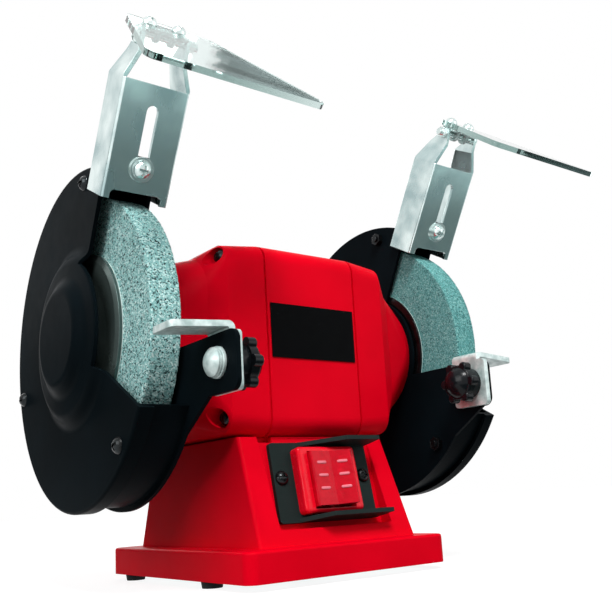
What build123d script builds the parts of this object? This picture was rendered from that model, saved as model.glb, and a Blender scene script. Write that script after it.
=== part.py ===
from build123d import *
import os
from math import asin, cos, degrees, radians, sin, tan

# Bench grinder, millimetres. +Z is up, the operator stands at -Y and the shaft runs along X.
# Shapes are drawn with the shaft over y = 0. At the end all are shifted so that the origin is on the
# bench in the middle of the four feet.

# Driving dimensions
AXIS_Z = 129.0  # shaft height over the bench
WHEEL_D = 150.0
WHEEL_T = 16.0
WHEEL_X = 100.0  # middle of each wheel
WHEEL_BORE = 20.0
SHAFT_END_D = 12.7
SHAFT_D = 15.0
SHAFT_HALF = 121.5
FLANGE_D = 90.0
BLOTTER_T = 0.4

GUARD_R = 89.5
GUARD_SHEET = 2.0
GUARD_BACK_X = 88.0  # motor side of the back plate
COVER_X = 116.0  # outer face of the cover
RIM_R = 87.0
RIM_T = 1.5
COVER_LIP = 8.0
OPEN_LOW = -30.0  # guard opening, degrees up from the front
OPEN_HIGH = 62.0
OPEN_R = 40.0
COVER_SCREW_R = 81.5
COVER_SCREW_ANGLES = (78.0, 195.0, 313.0)
GUARD_SCREW_R = 31.0

BODY_HALF_Y = 54.0  # motor housing section, measured from the shaft
BODY_UP = 49.5
BODY_DOWN = 55.0
BODY_CORNER = 10.0
BODY_HALF_X = 31.0
BELL_FLAT_X = 53.0
BELL_DRAFT = 2.0  # how far the bell's sides lean in up to there
BELL_SHOULDER_X = 62.0
BELL_HUB_X = 82.0
BELL_HUB_R = 41.0
BOLT_Y = 45.0  # through-bolts of the motor
BOLT_UP = 40.5
BOLT_DOWN = 45.0

BASE_HALF_X = 64.0
BASE_FRONT = -79.0
BASE_REAR = 75.0
BASE_BOTTOM = 3.5
BASE_TOP = 18.5
WALL = 3.5
PEDESTAL_TOP = AXIS_Z - BODY_DOWN
PEDESTAL_LOW_Y = (-69.0, 62.0)
PEDESTAL_HIGH_Y = (-48.5, 46.0)
PEDESTAL_LOW_X = 50.7
PEDESTAL_HIGH_X = 48.4
BASE_MID_Y = (BASE_FRONT + BASE_REAR) / 2
FOOT_X = 57.0
FOOT_Y = 45.0
FOOT_MID_Y = 12.0
FOOT_R = 5.8
FOOT_BOSS_TOP = 16.5
MOUNT_HOLE_R = 2.5
PLATE_SCREWS = [(-30.0, 65.0), (30.0, 65.0), (-30.0, -66.0), (30.0, -66.0)]
BOTTOM_SHEET = 1.5
GLAND_X = 30.0
GLAND_Z = 32.0
GLAND_SEAT_Y = 62.0
GLAND_R = 6.0
GLAND_BORE_R = 3.6

PANEL_TILT = 11.3  # switch panel, degrees back from upright
PANEL_Y = -53.5
PANEL_Z = 49.0
RECESS = (73.0, 49.0)
SWITCH_SQUARE = 32.0
PLATE_SCREW = (27.0, 2.8)
SWITCH_PLATE_T = 2.5
BEZEL_HEIGHT = 6.5
WINDOW = (13.4, 15.2)
ROCKER_TILT = 9.0
ROCKER_PIVOT = 5.0
ROCKER_PIN_R = 1.4

BRACKET_ANGLE = 60.0  # spark bracket, degrees up from the front
BRACKET_X = 102.4
BRACKET_HALF = 17.6
BRACKET_SHEET = 2.0
BRACKET_FACE = 11.0
BRACKET_LOW = 77.0
BRACKET_HIGH = 134.0
BRACKET_FLANK = 20.0
BRACKET_SCREW = 93.4
BRACKET_SLOT = (31.0, 6.0)  # between end centres, and wide
NOTCH = (13.5, 4.5)  # half width and height of the notch over the wheel
EAR_IN = 5.0  # how far the ears step in
EAR_R = 3.6
HINGE_UP = 153.4
HINGE_FWD = 5.8
HINGE_R = 2.0

SHIELD_T = 3.0
SHIELD_LOW = 4.0  # under face of the sheet over the hinge
SHIELD_TILT = {"left": 46.0, "right": 37.5}
SHIELD_SHIFT = {"left": 0.0, "right": 6.0}
SHIELD_SCREWS = [(-7.6, 2.6), (7.6, 2.6)]

REST_SHEET = 3.0
REST_BOLT_HEAD_R = 6.5
REST_BOLT_Y = {"left": -102.7, "right": -87.5}
REST_BOLT_Z = 101.0
ARM_TOP = AXIS_Z - 15.0
ARM_BOTTOM = AXIS_Z - 41.5
ARM_END = {"left": 118.0, "right": 99.0}
REST_SLOT = {"left": (93.6, 107.5), "right": (86.0, 92.5)}  # end centres, forward of the shaft
BOLT_R = 3.0
STATOR_R = 44.5
STATOR_HALF = 22.0
BEARING_OUT_R = 17.5
BEARING_X = (66.0, 77.0)
BALL_R = 3.2
BOLT_SEAT_X = 51.0
BOLT_HOLE_R = 2.7
BOLT_POCKET_R = 5.2
RUN = 0.05  # running clearance on the radius
GAP = 0.1  # air between sliding sheets

WHEEL_IN = WHEEL_X - WHEEL_T / 2
WHEEL_OUT = WHEEL_X + WHEEL_T / 2
GUARD_IN_X = GUARD_BACK_X + GUARD_SHEET
COVER_IN_X = COVER_X - GUARD_SHEET
SHAFT_AXIS = Axis((0, 0, AXIS_Z), (1, 0, 0))
TURN_PLANE = Plane(origin=(0, 0, AXIS_Z), x_dir=(1, 0, 0), z_dir=(0, -1, 0))
BRACKET_PLANE = Plane(
    origin=(0, 0, AXIS_Z),
    x_dir=(1, 0, 0),
    z_dir=(0, -sin(radians(BRACKET_ANGLE)), -cos(radians(BRACKET_ANGLE))),
)
PANEL_PLANE = Plane(
    origin=(0, PANEL_Y, PANEL_Z),
    x_dir=(1, 0, 0),
    z_dir=(0, -cos(radians(PANEL_TILT)), sin(radians(PANEL_TILT))),
)
SIDES = ("left", "right")

parts = {}


# Shared shapes
def group(solids):
    """Separate solids in one node."""
    return Compound(list(solids))


def on_side(side, shape):
    """A shape drawn for the right end, or its mirror image for the left end."""
    return shape if side == "right" else mirror(shape, about=Plane.YZ)


def both(shape):
    return group(on_side(side, shape).solid() for side in SIDES)


def turned(points):
    """A solid of revolution about the shaft from (x, radius) points."""
    face = make_face(Polyline(*points, close=True))
    return revolve(TURN_PLANE * face, SHAFT_AXIS)


def disc(x0, x1, radius, y=0.0, z=AXIS_Z):
    """A cylinder along X from x0 to x1."""
    return Pos((x0 + x1) / 2, y, z) * Rot(0, 90, 0) * Cylinder(radius, abs(x1 - x0))


def tube(x0, x1, outer, inner, y=0.0, z=AXIS_Z):
    return disc(x0, x1, outer, y, z) - disc(x0, x1, inner, y, z)


def hexagon(x0, x1, flats, y=0.0, z=AXIS_Z):
    """A hexagonal prism along X."""
    sketch = RegularPolygon(flats / 2, 6, major_radius=False)
    return Pos(x0, y, z) * Rot(0, 90, 0) * extrude(sketch, x1 - x0)


def cap(radius, rise):
    """A spherical cap standing on the XY plane."""
    ball_r = (radius**2 + rise**2) / (2 * rise)
    return Pos(0, 0, rise - ball_r) * Sphere(ball_r) & Pos(0, 0, rise) * Box(3 * radius, 3 * radius, 2 * rise)


def dome(x0, height, radius, y=0.0, z=AXIS_Z):
    """A cap along X, flat at x0 and rising towards the sign of height."""
    turn = 90 if height > 0 else -90
    return Pos(x0, y, z) * Rot(0, turn, 0) * cap(radius, abs(height))


def section_plane(x):
    """Plane across the shaft with (forward, up) coordinates."""
    return Plane(origin=(x, 0, AXIS_Z), x_dir=(0, -1, 0), z_dir=(-1, 0, 0))


def front_face(x, sketch, depth):
    """Extrude a sketch drawn in (forward, up) coordinates about the shaft, from x towards +X."""
    return extrude(section_plane(x + depth) * sketch, depth)


def polar(radius, angle):
    return (radius * cos(radians(angle)), radius * sin(radians(angle)))


def sector(inner, outer, low, high):
    """A slice of a ring between two angles."""
    edges = [
        Line(polar(inner, low), polar(outer, low)),
        CenterArc((0, 0), outer, low, high - low),
        Line(polar(outer, high), polar(inner, high)),
        CenterArc((0, 0), inner, low, high - low),
    ]
    return make_face(edges)


def around(radius, angles, maker):
    """One shape per angle, where maker takes the world y and z of each place."""
    places = [polar(radius, angle) for angle in angles]
    return [maker(-forward, AXIS_Z + up) for forward, up in places]


# Base casting: a hollow plinth and pedestal with a recessed switch panel between two front ribs
def frustum(half_low, half_high, y_low, y_high, z_low, z_high):
    """A tapering block between two level rectangles."""
    low = Pos(0, sum(y_low) / 2, z_low) * Rectangle(2 * half_low, y_low[1] - y_low[0])
    high = Pos(0, sum(y_high) / 2, z_high) * Rectangle(2 * half_high, y_high[1] - y_high[0])
    return loft([low, high])


def base_casting():
    depth = BASE_REAR - BASE_FRONT
    height = BASE_TOP - BASE_BOTTOM
    plinth = Pos(0, BASE_MID_Y, (BASE_BOTTOM + BASE_TOP) / 2) * Box(2 * BASE_HALF_X, depth, height)
    plinth = fillet(plinth.edges().filter_by(Axis.Z), 6)
    plinth = fillet(plinth.faces().sort_by(Axis.Z)[-1].edges(), 1.5)
    low_y = PEDESTAL_LOW_Y
    high_y = PEDESTAL_HIGH_Y
    pedestal = frustum(PEDESTAL_LOW_X, PEDESTAL_HIGH_X, low_y, high_y, BASE_TOP, PEDESTAL_TOP)
    slant_edges = pedestal.edges().group_by(Axis.Z)[1]
    pedestal = fillet(slant_edges, 2.0)
    recess_depth = 24.0
    cast = plinth + pedestal - PANEL_PLANE * (Pos(0, 0, recess_depth / 2) * Box(*RECESS, recess_depth))
    gland_y = GLAND_SEAT_Y - 4
    cast += Pos(GLAND_X, gland_y, GLAND_Z) * Rot(90, 0, 0) * Cylinder(GLAND_R + 5, 8)
    room_low = (low_y[0] + WALL + 9, low_y[1] - WALL)
    room_high = (high_y[0] + WALL + 1, high_y[1] - WALL)
    room_x = (PEDESTAL_LOW_X - WALL, PEDESTAL_HIGH_X - WALL)
    tray_top = BASE_TOP - WALL
    cast -= frustum(*room_x, room_low, room_high, tray_top, PEDESTAL_TOP - WALL)
    tray_x = 2 * (BASE_HALF_X - WALL)
    tray_height = tray_top - BASE_BOTTOM
    cast -= Pos(0, BASE_MID_Y, BASE_BOTTOM + tray_height / 2) * Box(tray_x, depth - 2 * WALL, tray_height)
    boss_height = FOOT_BOSS_TOP - BASE_BOTTOM
    for x, y in foot_places():
        cast += Pos(x, y, BASE_BOTTOM + boss_height / 2) * Cylinder(FOOT_R + 0.4, boss_height)
        cast -= Pos(x, y, BASE_BOTTOM) * Cylinder(MOUNT_HOLE_R, 24)
    cast -= Pos(-32.5, -47, PEDESTAL_TOP - 1.5) * Box(9, 6, 3.2)
    cast -= PANEL_PLANE * Box(SWITCH_SQUARE + 1, SWITCH_SQUARE + 1, 30)
    cast -= Pos(0, 0, PEDESTAL_TOP) * Cylinder(9, 16)
    for side in (-1, 1):
        cast -= PANEL_PLANE * (Pos(side * PLATE_SCREW[0], PLATE_SCREW[1], -4) * Cylinder(1.9, 10))
    cast -= Pos(GLAND_X, gland_y, GLAND_Z) * Rot(90, 0, 0) * Cylinder(GLAND_R + 0.1, 30)
    return cast


def foot_places():
    return [(sx * FOOT_X, FOOT_MID_Y + sy * FOOT_Y) for sx in (-1, 1) for sy in (-1, 1)]


def bottom_plate():
    """Sheet that closes the base, cut away round the four mounting bosses."""
    inner_x = 2 * (BASE_HALF_X - WALL) - 1
    inner_y = BASE_REAR - BASE_FRONT - 2 * WALL - 1
    plate = Pos(0, BASE_MID_Y, BASE_BOTTOM + BOTTOM_SHEET / 2) * Box(inner_x, inner_y, BOTTOM_SHEET)
    for x, y in foot_places():
        plate -= Pos(x, y, BASE_BOTTOM) * Cylinder(FOOT_R + 1, 6)
    return plate


def base_parts():
    cast = base_casting()
    plate = bottom_plate()
    screws = []
    boss_low = BASE_BOTTOM + BOTTOM_SHEET
    boss_height = BASE_TOP - WALL + 0.5 - boss_low
    for x, y in PLATE_SCREWS:
        cast += Pos(x, y, boss_low + boss_height / 2) * Cylinder(4, boss_height)
        cast -= Pos(x, y, BASE_BOTTOM + 4.5) * Cylinder(1.7, 9)
        plate -= Pos(x, y, BASE_BOTTOM) * Cylinder(2.1, 6)
        head = Pos(x, y, BASE_BOTTOM - 0.75) * Cylinder(3.6, 1.5)
        screws.append(head + Pos(x, y, BASE_BOTTOM + 4) * Cylinder(1.7, 8))
    feet = []
    for x, y in foot_places():
        pad = Pos(x, y, BASE_BOTTOM / 2) * Cone(FOOT_R - 0.6, FOOT_R, BASE_BOTTOM)
        feet.append(pad - Pos(x, y, BASE_BOTTOM / 2) * Cylinder(MOUNT_HOLE_R, 10))
    parts["base_casting"] = cast
    parts["bottom_plate"] = plate
    parts["bottom_plate_screws"] = group(screws)
    parts["rubber_feet"] = group(feet)


# Motor: a middle housing between two end bells, held by four long through-bolts
def body_outline(inset=0.0, corner=BODY_CORNER):
    """The motor's rounded outline, drawn in by inset on all sides."""
    height = BODY_UP + BODY_DOWN - 2 * inset
    outline = Pos(0, (BODY_UP - BODY_DOWN) / 2) * Rectangle(2 * (BODY_HALF_Y - inset), height)
    return fillet(outline.vertices(), corner)


def bolt_places():
    rows = (AXIS_Z + BOLT_UP, AXIS_Z - BOLT_DOWN)
    return [(sy * BOLT_Y, z) for sy in (-1, 1) for z in rows]


def motor_body():
    groove = 1.2
    core = front_face(-BODY_HALF_X, body_outline(groove, BODY_CORNER - groove), 2 * BODY_HALF_X)
    land = BODY_HALF_X - groove
    body = core + front_face(-land, body_outline(), 2 * land) - disc(-60, 60, STATOR_R)
    for y, z in bolt_places():
        body -= disc(-60, 60, BOLT_HOLE_R, y, z)
    return body


def end_bell():
    """Right end bell: a drafted square flange that tapers to the round hub carrying a bearing."""
    hub_square = Rectangle(2 * BELL_HUB_R, 2 * BELL_HUB_R)
    hub_round = fillet(hub_square.vertices(), BELL_HUB_R - 0.1)
    outlines = [
        (BODY_HALF_X, body_outline()),
        (BELL_FLAT_X, body_outline(BELL_DRAFT, BODY_CORNER)),
        (BELL_SHOULDER_X, body_outline(7.0, 22.0)),
        (BELL_HUB_X, hub_round),
    ]
    bell = loft([section_plane(x) * outline for x, outline in outlines], ruled=True)
    nose = [(BELL_HUB_X - 1, 0), (BELL_HUB_X - 1, BELL_HUB_R), (BELL_HUB_X, BELL_HUB_R)]
    nose += [(GUARD_BACK_X, BELL_HUB_R - 4), (GUARD_BACK_X, 0)]
    bell += turned(nose)
    room = [
        (BODY_HALF_X - 1, 0),
        (BODY_HALF_X - 1, 44),
        (BODY_HALF_X + 13, 44),
        (60, 34),
        (BEARING_X[0], BEARING_OUT_R),
        (BEARING_X[1], BEARING_OUT_R),
        (BEARING_X[1], 14),
        (GUARD_BACK_X + 1, 14),
        (GUARD_BACK_X + 1, 0),
    ]
    bell -= turned(room)
    for y, z in bolt_places():
        bell -= disc(BODY_HALF_X - 1, BOLT_SEAT_X + 1, BOLT_HOLE_R, y, z)
        bell -= disc(BOLT_SEAT_X, BELL_HUB_X, BOLT_POCKET_R, y, z)
    for hole in around(GUARD_SCREW_R, (90, 210, 330), lambda y, z: disc(76, GUARD_BACK_X + 1, 2, y, z)):
        bell -= hole
    return bell


def motor_parts():
    bell = end_bell()
    parts["motor_body"] = motor_body()
    for side in SIDES:
        parts[f"{side}_end_bell"] = on_side(side, bell)
    bolts = []
    for y, z in bolt_places():
        shank = disc(-BOLT_SEAT_X - 4, BOLT_SEAT_X + 4, 2.5, y, z)
        head = dome(-BOLT_SEAT_X, -4.2, 4.6, y, z)
        bolts.append(shank + head + hexagon(BOLT_SEAT_X, BOLT_SEAT_X + 4, 8, y, z))
    parts["through_bolts"] = group(bolts)
    parts["stator_core"] = tube(-STATOR_HALF, STATOR_HALF, STATOR_R, 29)
    parts["stator_windings"] = both(tube(STATOR_HALF, STATOR_HALF + 19, 42.5, 31))
    pitch_r = (BEARING_OUT_R + SHAFT_D / 2) / 2
    mid_x = sum(BEARING_X) / 2
    race = Pos(mid_x, 0, AXIS_Z) * Rot(0, 90, 0) * Torus(pitch_r, BALL_R + 0.3)
    outer = tube(*BEARING_X, BEARING_OUT_R, pitch_r + 1.9) - race
    inner = tube(*BEARING_X, pitch_r - 1.9, SHAFT_D / 2) - race
    parts["bearing_outer_rings"] = both(outer)
    parts["bearing_inner_rings"] = both(inner)
    angles = [index * 360 / 8 for index in range(8)]
    cage = tube(mid_x + 1, mid_x + 4.6, pitch_r + 1.2, pitch_r - 1.2)
    balls = []
    for angle in angles:
        forward, up = polar(pitch_r, angle)
        place = Pos(mid_x, -forward, AXIS_Z + up)
        cage -= place * Sphere(BALL_R + 0.1)
        balls.append(place * Sphere(BALL_R))
    parts["bearing_balls"] = group(on_side(side, ball).solid() for side in SIDES for ball in balls)
    parts["bearing_cages"] = both(cage)


# Rotor: shaft, rotor core, two wheels with their bushes, blotters, flanges and nuts
def rotor_parts():
    seat_x = GUARD_BACK_X - 3
    end_r = SHAFT_END_D / 2
    half = [(0, 0), (0, SHAFT_D / 2), (seat_x, SHAFT_D / 2), (seat_x, end_r), (SHAFT_HALF - 1, end_r)]
    half += [(SHAFT_HALF, end_r - 1), (SHAFT_HALF, 0)]
    right_half = turned(half)
    parts["shaft"] = right_half + mirror(right_half, about=Plane.YZ)
    parts["rotor_core"] = tube(-STATOR_HALF, STATOR_HALF, 28.5, SHAFT_D / 2)
    wheel = tube(WHEEL_IN, WHEEL_OUT, WHEEL_D / 2, WHEEL_BORE / 2)
    outer_edges = wheel.edges().filter_by(GeomType.CIRCLE).sort_by(SortBy.RADIUS)[-2:]
    wheel = chamfer(outer_edges, 0.8)
    for side in SIDES:
        parts[f"{side}_wheel"] = on_side(side, wheel)
    parts["wheel_bushes"] = both(tube(WHEEL_IN, WHEEL_OUT, WHEEL_BORE / 2, end_r))
    rim_r = FLANGE_D / 2
    inner_x = WHEEL_IN - BLOTTER_T
    outer_x = WHEEL_OUT + BLOTTER_T
    inner = [(seat_x, end_r), (seat_x, 12), (inner_x - 0.7, 12), (inner_x - 0.7, rim_r - 6)]
    inner += [(inner_x - 1.2, rim_r - 4), (inner_x - 1.2, rim_r), (inner_x, rim_r), (inner_x, end_r)]
    parts["inner_flanges"] = both(turned(inner))
    outer = [(outer_x, end_r), (outer_x, rim_r), (outer_x + 1.6, rim_r), (outer_x + 2.6, rim_r - 3)]
    outer += [(outer_x + 2.6, rim_r - 14), (outer_x + 3.6, 18), (outer_x + 3.6, end_r)]
    parts["outer_flanges"] = both(turned(outer))
    blotters = [tube(inner_x, WHEEL_IN, rim_r, end_r), tube(WHEEL_OUT, outer_x, rim_r, end_r)]
    parts["wheel_blotters"] = group(on_side(side, paper).solid() for side in SIDES for paper in blotters)
    nut_x = outer_x + 3.6
    nut = hexagon(nut_x, nut_x + 8.5, 19) - disc(nut_x - 1, nut_x + 10, end_r)
    parts["wheel_nuts"] = both(nut)


# Wheel guards: a back plate with a welded rim, a tool rest arm and a lug, closed by a dished cover
def guard(side):
    end = ARM_END[side]
    top = ARM_TOP - AXIS_Z
    bottom = ARM_BOTTOM - AXIS_Z
    arm = [(20, top), (end, top), (end, bottom), (93, bottom), (70, -56), (20, -40)]
    arm_face = make_face(Polyline(*arm, close=True))
    arm_face = fillet(arm_face.vertices().group_by(Axis.X)[-1], 5)
    plate = Circle(GUARD_R) - sector(OPEN_R, GUARD_R + 20, OPEN_LOW, OPEN_HIGH) + arm_face
    plate -= Circle(15)
    rest_level = REST_BOLT_Z - AXIS_Z
    rear, front = REST_SLOT[side]
    plate -= Pos((rear + front) / 2, rest_level) * SlotCenterToCenter(front - rear, 2 * BOLT_R + 0.6)
    for place in [polar(COVER_SCREW_R, angle) for angle in COVER_SCREW_ANGLES]:
        plate -= Pos(*place) * Circle(2.2)
    for place in [polar(GUARD_SCREW_R, angle) for angle in (90, 210, 330)]:
        plate -= Pos(*place) * Circle(2.2)
    shell = front_face(GUARD_BACK_X, plate, GUARD_SHEET)
    lug_n = BRACKET_FACE - BRACKET_SHEET - 0.3 - GUARD_SHEET
    rim_end = BRACKET_ANGLE - degrees(asin((lug_n + 1) / RIM_R))
    rim = sector(RIM_R - RIM_T, RIM_R, rim_end, 360 + OPEN_LOW)
    shell += front_face(GUARD_IN_X - 0.5, rim, COVER_IN_X - GUARD_IN_X + 0.5 - GAP)
    lug_low = 84.0
    lug_high = BRACKET_SCREW + 6
    lug_middle = Pos(BRACKET_X, (lug_low + lug_high) / 2, lug_n + GUARD_SHEET / 2)
    shell += BRACKET_PLANE * (lug_middle * Box(21, lug_high - lug_low, GUARD_SHEET))
    shell -= BRACKET_PLANE * (Pos(BRACKET_X, BRACKET_SCREW, lug_n) * Cylinder(2.7, 12))
    return shell


def guard_cover():
    """Pressed disc with a soft two-step dome over the nut and a lip round the rim, cut by the opening."""
    lip_r = RIM_R + 0.6
    lip_x = COVER_X - COVER_LIP
    outer = [(COVER_X, GUARD_R), (COVER_X, 46), (COVER_X + 4.5, 41), (COVER_X + 5.5, 31)]
    outer += [(COVER_X + 9.5, 25), (COVER_X + 9.5, 0)]
    inner = [(COVER_X + 7.8, 0), (COVER_X + 7.8, 24.2), (COVER_X + 3.7, 30.2), (COVER_X + 2.8, 40.2)]
    inner += [(COVER_IN_X, 45), (COVER_IN_X, lip_r), (lip_x, lip_r), (lip_x, GUARD_R)]
    profile = make_face(Polyline(*outer, *inner, close=True))
    soft = [corner for corner in profile.vertices() if 20 < corner.Y < 50]
    cover = revolve(TURN_PLANE * fillet(soft, 7), SHAFT_AXIS)
    rim_edges = cover.edges().filter_by(GeomType.CIRCLE).sort_by(SortBy.RADIUS)[-2:]
    cover = fillet(rim_edges.sort_by(Axis.X)[-1:], 1.4)
    cover -= front_face(lip_x - 1, sector(OPEN_R, GUARD_R + 20, OPEN_LOW, OPEN_HIGH), 30)
    for hole in around(COVER_SCREW_R, COVER_SCREW_ANGLES, lambda y, z: disc(100, 130, 2.2, y, z)):
        cover -= hole
    return cover


def guard_parts():
    cover = guard_cover()
    for side in SIDES:
        parts[f"{side}_guard"] = on_side(side, guard(side))
        parts[f"{side}_guard_cover"] = on_side(side, cover)

    def screw(y, z):
        return dome(COVER_X, 3.0, 4.2, y, z) + disc(GUARD_BACK_X - 5, COVER_X, 2, y, z)

    def nut(y, z):
        hexagonal = hexagon(GUARD_BACK_X - 3.2, GUARD_BACK_X, 7, y, z)
        return hexagonal - disc(GUARD_BACK_X - 9, GUARD_BACK_X + 1, 2, y, z)

    def guard_screw(y, z):
        return disc(GUARD_IN_X, GUARD_IN_X + 0.5, 3.6, y, z) + disc(GUARD_BACK_X - 9, GUARD_IN_X, 2, y, z)

    screws = around(COVER_SCREW_R, COVER_SCREW_ANGLES, screw)
    nuts = around(COVER_SCREW_R, COVER_SCREW_ANGLES, nut)
    fixings = around(GUARD_SCREW_R, (90, 210, 330), guard_screw)
    parts["guard_cover_screws"] = group(on_side(side, item).solid() for side in SIDES for item in screws)
    parts["guard_cover_nuts"] = group(on_side(side, item).solid() for side in SIDES for item in nuts)
    parts["guard_mount_screws"] = group(on_side(side, item).solid() for side in SIDES for item in fixings)


# Spark brackets: channels of sheet steel that slide on the guard lug and carry the shield hinge
def channel_box(x0, x1, up0, up1, fwd0, fwd1):
    """A block in bracket coordinates: along X, up the bracket and forward out of its face."""
    middle = Pos((x0 + x1) / 2, (up0 + up1) / 2, (fwd0 + fwd1) / 2)
    return middle * Box(x1 - x0, up1 - up0, fwd1 - fwd0)


def ear():
    """The +X side of the channel, which steps in above the face and ends round the hinge bolt."""
    wide = BRACKET_HALF
    thin = BRACKET_HALF - BRACKET_SHEET
    bend = BRACKET_HIGH + 1
    step_up = bend + 12
    top = HINGE_UP + EAR_R
    step = [(wide, BRACKET_HIGH - 1), (wide, bend), (wide - EAR_IN, step_up), (wide - EAR_IN, top)]
    step += [(thin - EAR_IN, top), (thin - EAR_IN, step_up - 0.8)]
    step += [(thin, bend - 0.8), (thin, BRACKET_HIGH - 1)]
    bent = Pos(0, 0, -30) * extrude(make_face(Polyline(*step, close=True)), 60)
    low = BRACKET_HIGH - 2
    back = BRACKET_FACE - BRACKET_FLANK
    outline = [(back, low), (BRACKET_FACE - 1, low), (BRACKET_FACE - 1, step_up)]
    outline += [(HINGE_FWD + EAR_R, HINGE_UP), (HINGE_FWD - EAR_R, HINGE_UP)]
    outline += [(back + 4, step_up), (back, bend + 1)]
    shape = make_face(Polyline(*outline, close=True)) + Pos(HINGE_FWD, HINGE_UP) * Circle(EAR_R)
    side_plane = Plane(origin=(30, 0, 0), x_dir=(0, 0, 1), z_dir=(-1, 0, 0))
    return bent & extrude(side_plane * shape, 40)


def spark_bracket():
    wide = BRACKET_HALF
    back = BRACKET_FACE - BRACKET_SHEET
    face = channel_box(-wide, wide, BRACKET_LOW, BRACKET_HIGH, back, BRACKET_FACE)
    notch = channel_box(-NOTCH[0], NOTCH[0], BRACKET_LOW - 6, BRACKET_LOW + NOTCH[1], 0, 20)
    face -= fillet(notch.edges().filter_by(Axis.Z), 2.4)
    slot = extrude(Rot(0, 0, 90) * SlotCenterToCenter(*BRACKET_SLOT), 20)
    face -= Pos(0, BRACKET_SCREW - 3.2 + BRACKET_SLOT[0] / 2, 0) * slot
    flank_back = BRACKET_FACE - BRACKET_FLANK
    flank = channel_box(wide - BRACKET_SHEET, wide, BRACKET_LOW, BRACKET_HIGH, flank_back, BRACKET_FACE)
    flank += ear()
    flank -= Pos(0, HINGE_UP, HINGE_FWD) * Rot(0, 90, 0) * Cylinder(HINGE_R + 0.01, 60)
    channel = face + flank + mirror(flank, about=Plane.YZ)
    upright = channel.edges().filter_by(Axis.Y)
    outer = [edge for edge in upright if abs(edge.center().X) > wide - 0.1]
    bends = [edge for edge in outer if edge.center().Z > BRACKET_FACE - 0.1]
    channel = fillet(bends, 1.8)
    return BRACKET_PLANE * (Pos(BRACKET_X, 0, 0) * channel)


def bracket_fixings():
    """Screw, two washers and nut that clamp the bracket to the guard lug, in bracket coordinates."""
    lug_back = BRACKET_FACE - BRACKET_SHEET - 0.3 - GUARD_SHEET
    face = BRACKET_FACE + GAP
    place = Pos(BRACKET_X, BRACKET_SCREW, 0)
    flat = Pos(0, 0, face + 0.5) * (Cylinder(6.2, 1.0) - Cylinder(2.5, 2))
    spring = Pos(0, 0, face + 1.6) * (Cylinder(4.9, 1.2) - Cylinder(2.5, 2))
    head_z = face + 2.2
    head = Pos(0, 0, head_z + 1.4) * Cylinder(4.4, 2.8)
    head = fillet(head.edges().sort_by(Axis.Z)[-1:], 1.5)
    shank = Pos(0, 0, (lug_back - 6 + head_z) / 2) * Cylinder(2.5, head_z - lug_back + 6)
    nut = extrude(RegularPolygon(4, 6, major_radius=False) - Circle(2.5), 4)
    nut = Pos(0, 0, lug_back - 4) * nut
    screw = BRACKET_PLANE * (place * (head + shank))
    washers = [BRACKET_PLANE * (place * item) for item in (flat, spring)]
    return screw, washers, BRACKET_PLANE * (place * nut)


def hinge_bolt():
    """Bolt through both ears with its nut, in bracket coordinates."""
    outside = BRACKET_HALF - EAR_IN
    at_hinge = Pos(0, HINGE_UP, HINGE_FWD)
    spare = 5.0
    shank = at_hinge * Pos(-spare / 2, 0, 0) * Rot(0, 90, 0) * Cylinder(HINGE_R, 2 * outside + spare)
    bolt = shank + at_hinge * Pos(outside, 0, 0) * Rot(0, 90, 0) * cap(3.5, 3.0)
    nut = extrude(RegularPolygon(3.0, 6, major_radius=False), 3.2) - Cylinder(HINGE_R, 12)
    nut = at_hinge * Pos(-outside - 3.2, 0, 0) * Rot(0, 90, 0) * nut
    place = Pos(BRACKET_X, 0, 0)
    return [BRACKET_PLANE * (place * bolt), BRACKET_PLANE * (place * nut)]


def bracket_parts():
    screw, washers, nut = bracket_fixings()
    channel = spark_bracket()
    for side in SIDES:
        parts[f"{side}_spark_bracket"] = on_side(side, channel)
        parts[f"{side}_hinge_bolt"] = group(on_side(side, item).solid() for item in hinge_bolt())
    parts["bracket_screws"] = both(screw)
    parts["bracket_washers"] = group(on_side(side, item).solid() for side in SIDES for item in washers)
    parts["bracket_nuts"] = both(nut)


# Eye shields: clear sheets on a folded hinge clip. Both ends use the same sheet, not a mirrored one.
def hinge_point():
    """World y and z of the shield hinge."""
    lean = radians(BRACKET_ANGLE)
    y = -cos(lean) * HINGE_UP - sin(lean) * HINGE_FWD
    z = AXIS_Z + sin(lean) * HINGE_UP - cos(lean) * HINGE_FWD
    return y, z


def shield_sheet(shift):
    """Clear sheet, flared towards the front, with two screw holes near its rear edge."""
    rear = 8.0
    front = -54.0
    corners = [(-18, rear), (26, rear), (68, front), (-29, front)]
    sheet = Pos(shift, 0) * fillet(make_face(Polyline(*corners, close=True)).vertices(), 4)
    for place in SHIELD_SCREWS:
        sheet -= Pos(*place) * Circle(2.1)
    return Pos(0, 0, SHIELD_LOW) * extrude(sheet, SHIELD_T)


def shield_clip():
    """Hinge clip: a plate under the sheet with two knuckles round the hinge bolt."""
    plate_t = 1.5
    knuckle_x = 4.0
    knuckle_r = 3.4
    clip = Pos(0, 0, SHIELD_LOW - plate_t / 2) * Box(20, 12, plate_t)
    for x in (-knuckle_x, knuckle_x):
        clip += Pos(x, 0, (SHIELD_LOW - plate_t) / 2) * Box(2, 2 * knuckle_r, SHIELD_LOW - plate_t)
        clip += Pos(x, 0, 0) * Rot(0, 90, 0) * Cylinder(knuckle_r, 2)
    clip -= Rot(0, 90, 0) * Cylinder(HINGE_R + RUN, 40)
    for place in SHIELD_SCREWS:
        clip -= Pos(*place) * Pos(0, 0, SHIELD_LOW) * Cylinder(2.1, 2 * plate_t)
    return clip


def shield_screw(place):
    top = SHIELD_LOW + SHIELD_T
    shank_t = SHIELD_T + 1.4
    shank = Pos(0, 0, top - shank_t / 2) * Cylinder(2.0, shank_t)
    return Pos(*place) * (Pos(0, 0, top) * cap(3.8, 2.8) + shank)


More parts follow.
